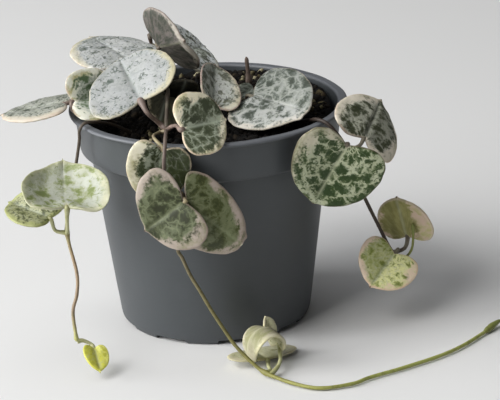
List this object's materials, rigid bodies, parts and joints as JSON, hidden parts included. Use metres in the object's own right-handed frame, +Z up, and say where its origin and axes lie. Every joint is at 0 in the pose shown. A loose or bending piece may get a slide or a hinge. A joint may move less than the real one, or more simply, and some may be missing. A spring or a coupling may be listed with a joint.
{
  "type": "potted string of hearts",
  "caption": "Small nursery pot of dark plastic with a trailing succulent: paired variegated heart leaves on thin stems that hang over the rim.",
  "frame": {"origin": "centre of the whole object's bounding box in plan, on the surface that the pot stands on", "axes": "+Z up along the pot's axis; +X to the side where the front vine trails, along the longest extent; -Y is the front, where the leaves hang over the rim"},
  "size_m": [0.1133, 0.0815, 0.0743],
  "materials": {
    "pot_plastic": "satin moulded polypropylene, dark grey",
    "soil_mix": "rough, near-black potting mix",
    "leaf_silver": "soft waxy sheen, silver-green marbling",
    "leaf_green": "soft waxy sheen, dark green islands with cream margins",
    "leaf_young": "soft waxy sheen, pale yellow-green",
    "stem_brown": "matt purple-brown skin",
    "stem_olive": "matt olive to yellow-green skin"
  },
  "bodies": {
    "root": {"pot": "pot_plastic", "soil": "soil_mix", "vine_left": "stem_brown", "vine_front": "stem_olive", "vine_right": "stem_brown", "stem_rim_left": "stem_brown", "stem_crown_left": "stem_brown", "stem_crown_back": "stem_brown", "stem_inner": "stem_brown", "stem_stub": "stem_brown", "shoot_right": "stem_olive", "tip_bud": "stem_olive", "leaf_crown_front": "leaf_silver", "leaf_crown_back": "leaf_silver", "leaf_rim_left_in": "leaf_green", "leaf_rim_left_out": "leaf_silver", "leaf_crown_tall": "leaf_green", "leaf_crown_tall_back": "leaf_green", "leaf_inner_right": "leaf_silver", "leaf_inner_dark": "leaf_green", "leaf_shade": "leaf_green", "leaf_soil_right": "leaf_silver", "leaf_soil_small": "leaf_green", "leaf_front_upper": "leaf_green", "leaf_front_back": "leaf_green", "leaf_front_low_left": "leaf_green", "leaf_front_low_right": "leaf_green", "leaf_drop_cup": "leaf_young", "leaf_drop_side": "leaf_young", "leaf_left_tip": "leaf_young", "leaf_rim_right_fold": "leaf_green", "leaf_rim_right_round": "leaf_green", "leaf_low_right_back": "leaf_green", "leaf_low_right_front": "leaf_young", "leaf_foot_flat": "leaf_young", "leaf_foot_curled": "leaf_young"}
  },
  "joints": []
}
